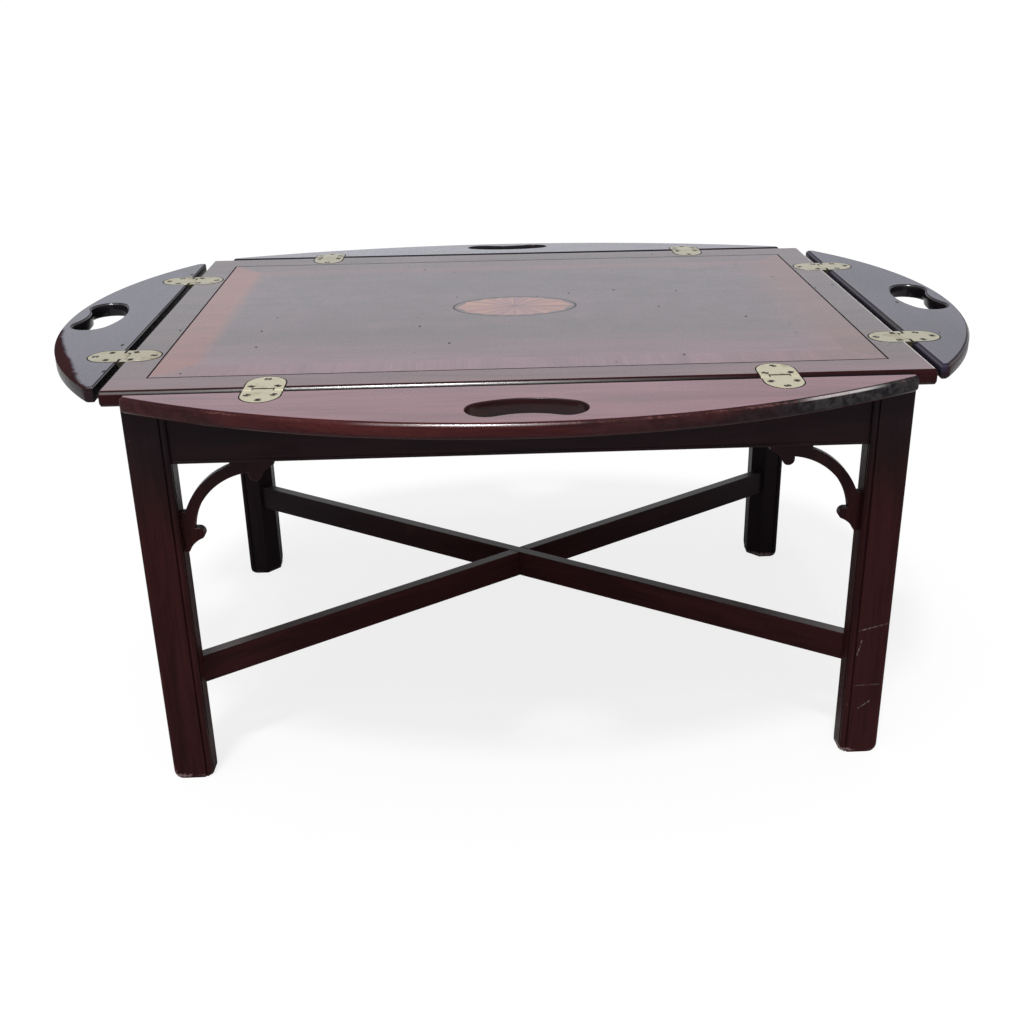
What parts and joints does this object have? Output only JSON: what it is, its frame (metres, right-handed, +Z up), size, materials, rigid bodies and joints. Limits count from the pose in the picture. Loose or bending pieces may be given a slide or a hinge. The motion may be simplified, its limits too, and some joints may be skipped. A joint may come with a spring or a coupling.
{
  "type": "butler's tray table",
  "caption": "Low oval table: a lift-off inlaid tray with hinged folding leaves and hand holes, on a square-legged stand with fretted brackets and crossed stretchers.",
  "frame": {"origin": "on the floor under the middle of the tray", "axes": "+X along the long side to the right, -Y to the front, +Z up"},
  "size_m": [1.012, 0.7675, 0.45],
  "materials": {
    "stand_wood": "dark red-brown polish, satin",
    "leaf_wood": "red-brown polish, semi-gloss",
    "tray_wood": "brown polish, semi-gloss, worn",
    "field_veneer": "brown veneer, semi-gloss, worn",
    "band_veneer": "red crossbanding, semi-gloss",
    "string_veneer": "black stringing",
    "fan_veneer": "satinwood fan, shaded",
    "secondary_wood": "bare wood",
    "hinge_brass": "dull brass",
    "pin_brass": "dull brass"
  },
  "bodies": {
    "stand": {"apron_back": "stand_wood", "apron_front": "stand_wood", "apron_left": "stand_wood", "apron_right": "stand_wood", "bracket_back_left": "stand_wood", "bracket_back_right": "stand_wood", "bracket_front_left": "stand_wood", "bracket_front_right": "stand_wood", "bracket_left_back": "stand_wood", "bracket_left_front": "stand_wood", "bracket_right_back": "stand_wood", "bracket_right_front": "stand_wood", "corner_block_back_left": "secondary_wood", "corner_block_back_right": "secondary_wood", "corner_block_front_left": "secondary_wood", "corner_block_front_right": "secondary_wood", "leg_back_left": "stand_wood", "leg_back_right": "stand_wood", "leg_front_left": "stand_wood", "leg_front_right": "stand_wood", "stretcher_over": "stand_wood", "stretcher_under": "stand_wood"},
    "tray": {"batten_left": "secondary_wood", "batten_right": "secondary_wood", "crossband": "band_veneer", "fan_inlay": "fan_veneer", "field_veneer": "field_veneer", "hinge_back_left_pin": "pin_brass", "hinge_back_left_tray_plate": "hinge_brass", "hinge_back_right_pin": "pin_brass", "hinge_back_right_tray_plate": "hinge_brass", "hinge_front_left_pin": "pin_brass", "hinge_front_left_tray_plate": "hinge_brass", "hinge_front_right_pin": "pin_brass", "hinge_front_right_tray_plate": "hinge_brass", "hinge_left_back_pin": "pin_brass", "hinge_left_back_tray_plate": "hinge_brass", "hinge_left_front_pin": "pin_brass", "hinge_left_front_tray_plate": "hinge_brass", "hinge_right_back_pin": "pin_brass", "hinge_right_back_tray_plate": "hinge_brass", "hinge_right_front_pin": "pin_brass", "hinge_right_front_tray_plate": "hinge_brass", "stringing": "string_veneer", "tray_board": "tray_wood"},
    "front_leaf": {"hinge_front_left_leaf_plate": "hinge_brass", "hinge_front_right_leaf_plate": "hinge_brass", "leaf_front": "leaf_wood"},
    "back_leaf": {"hinge_back_left_leaf_plate": "hinge_brass", "hinge_back_right_leaf_plate": "hinge_brass", "leaf_back": "leaf_wood"},
    "left_leaf": {"hinge_left_back_leaf_plate": "hinge_brass", "hinge_left_front_leaf_plate": "hinge_brass", "leaf_left": "leaf_wood"},
    "right_leaf": {"hinge_right_back_leaf_plate": "hinge_brass", "hinge_right_front_leaf_plate": "hinge_brass", "leaf_right": "leaf_wood"}
  },
  "joints": [
    {"name": "tray_lift", "type": "slide", "parent": "stand", "child": "tray", "axis": [0, 0, 1], "range_m": [0, 0.25]},
    {"name": "front_leaf_fold", "type": "hinge", "parent": "tray", "child": "front_leaf", "pos_m": [0, -0.275, 0.4466], "axis": [-1, 0, 0], "range_deg": [0, 90]},
    {"name": "back_leaf_fold", "type": "hinge", "parent": "tray", "child": "back_leaf", "pos_m": [0, 0.275, 0.4466], "axis": [1, 0, 0], "range_deg": [0, 95.2]},
    {"name": "left_leaf_fold", "type": "hinge", "parent": "tray", "child": "left_leaf", "pos_m": [-0.404, 0, 0.4466], "axis": [0, 1, 0], "range_deg": [0, 90]},
    {"name": "right_leaf_fold", "type": "hinge", "parent": "tray", "child": "right_leaf", "pos_m": [0.404, 0, 0.4466], "axis": [0, -1, 0], "range_deg": [0, 90]}
  ]
}
